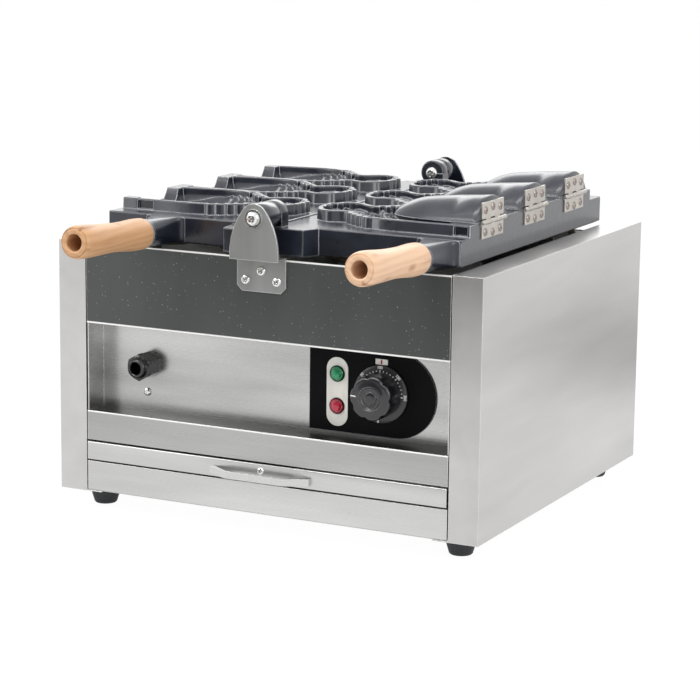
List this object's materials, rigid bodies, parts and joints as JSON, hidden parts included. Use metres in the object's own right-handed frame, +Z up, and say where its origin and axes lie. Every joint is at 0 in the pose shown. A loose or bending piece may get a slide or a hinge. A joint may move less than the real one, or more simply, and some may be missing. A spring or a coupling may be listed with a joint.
{
  "type": "taiyaki maker",
  "caption": "Countertop taiyaki maker with fish-shaped moulds in two folding cast halves, hinged mouth cores, wooden handles, a thermostat dial and a crumb drawer.",
  "frame": {"origin": "centre of the bounding box on the plane of the feet", "axes": "+X to the right seen from the front, +Y to the back, +Z up; the handles and the controls face -Y"},
  "size_m": [0.48, 0.5946, 0.3506],
  "materials": {
    "brushed_steel": "brushed",
    "plain_steel": "mill finish",
    "speckled_dark": "dark enamel with fine light specks",
    "heater_metal": "heat-stained",
    "ceramic": "matt glaze",
    "foot_rubber": "matt",
    "dark_steel": "satin",
    "bright_hardware": "polished",
    "hinge_steel": "satin",
    "mould_coating": "non-stick coating, satin to gloss",
    "black_gloss": "gloss",
    "black_satin": "satin",
    "grip_wood": "turned and lacquered",
    "chrome_pull": "polished",
    "white_plastic": "satin",
    "green_lens": "moulded lens",
    "red_lens": "moulded lens"
  },
  "bodies": {
    "cabinet": {"left_side_panel": "brushed_steel", "right_side_panel": "brushed_steel", "base_pan": "plain_steel", "back_panel": "plain_steel", "front_skirt": "brushed_steel", "lower_front_bar": "brushed_steel", "control_panel": "brushed_steel", "upper_front_panel": "speckled_dark", "reflector_pan": "plain_steel", "left_heating_tube": "heater_metal", "right_heating_tube": "heater_metal", "heating_tube_supports": "plain_steel", "heater_terminals": "ceramic", "drawer_runners": "plain_steel", "rubber_feet": "foot_rubber", "foot_screws": "bright_hardware", "front_hinge_bracket": "brushed_steel", "rear_hinge_bracket": "dark_steel", "bracket_screws": "bright_hardware", "front_pivot_bolt": "bright_hardware", "rear_pivot_bolt": "bright_hardware", "pivot_nuts": "bright_hardware", "pivot_washers": "bright_hardware", "control_bezel": "black_satin", "lamp_plate": "white_plastic", "power_lamp": "green_lens", "heat_lamp": "red_lens", "dial_index": "white_plastic", "thermostat": "black_satin", "cable_gland": "black_gloss", "gland_locknut": "black_gloss", "earth_screw": "bright_hardware", "terminal_block": "ceramic"},
    "left_mould": {"left_mould_half": "mould_coating", "left_handle_boss": "black_gloss", "left_handle_rod": "plain_steel", "left_wooden_grip": "grip_wood"},
    "right_mould": {"right_mould_half": "mould_coating", "right_handle_boss": "black_gloss", "right_handle_rod": "plain_steel", "right_wooden_grip": "grip_wood", "core_hinge_lower_leaves": "hinge_steel", "core_hinge_pins": "bright_hardware", "lower_leaf_screws": "bright_hardware"},
    "core_front": {"front_mouth_core": "mould_coating", "front_core_leaf": "hinge_steel", "front_leaf_screws": "bright_hardware"},
    "core_middle": {"middle_mouth_core": "mould_coating", "middle_core_leaf": "hinge_steel", "middle_leaf_screws": "bright_hardware"},
    "core_rear": {"rear_mouth_core": "mould_coating", "rear_core_leaf": "hinge_steel", "rear_leaf_screws": "bright_hardware"},
    "drawer": {"crumb_tray": "brushed_steel", "drawer_front": "brushed_steel", "drawer_pull": "chrome_pull", "drawer_screw": "bright_hardware"},
    "dial": {"dial_knob": "black_satin"}
  },
  "joints": [
    {"name": "left_fold", "type": "hinge", "parent": "cabinet", "child": "left_mould", "pos_m": [0, -0.15074, 0.3261], "axis": [0, 1, 0], "range_deg": [0, 180]},
    {"name": "right_fold", "type": "hinge", "parent": "cabinet", "child": "right_mould", "pos_m": [0, -0.15074, 0.3261], "axis": [0, 1, 0], "range_deg": [-180, 0]},
    {"name": "front_core_swing", "type": "hinge", "parent": "right_mould", "child": "core_front", "pos_m": [0.2067, -0.05124, 0.3261], "axis": [0, 1, 0], "range_deg": [0, 165]},
    {"name": "middle_core_swing", "type": "hinge", "parent": "right_mould", "child": "core_middle", "pos_m": [0.2067, 0.05776, 0.3261], "axis": [0, 1, 0], "range_deg": [0, 165]},
    {"name": "rear_core_swing", "type": "hinge", "parent": "right_mould", "child": "core_rear", "pos_m": [0.2067, 0.16676, 0.3261], "axis": [0, 1, 0], "range_deg": [0, 165]},
    {"name": "drawer_slide", "type": "slide", "parent": "cabinet", "child": "drawer", "axis": [0, -1, 0], "range_m": [0, 0.3]},
    {"name": "dial_turn", "type": "hinge", "parent": "cabinet", "child": "dial", "pos_m": [0.1201, -0.15074, 0.1535], "axis": [0, 1, 0], "range_deg": [0, 270]}
  ]
}
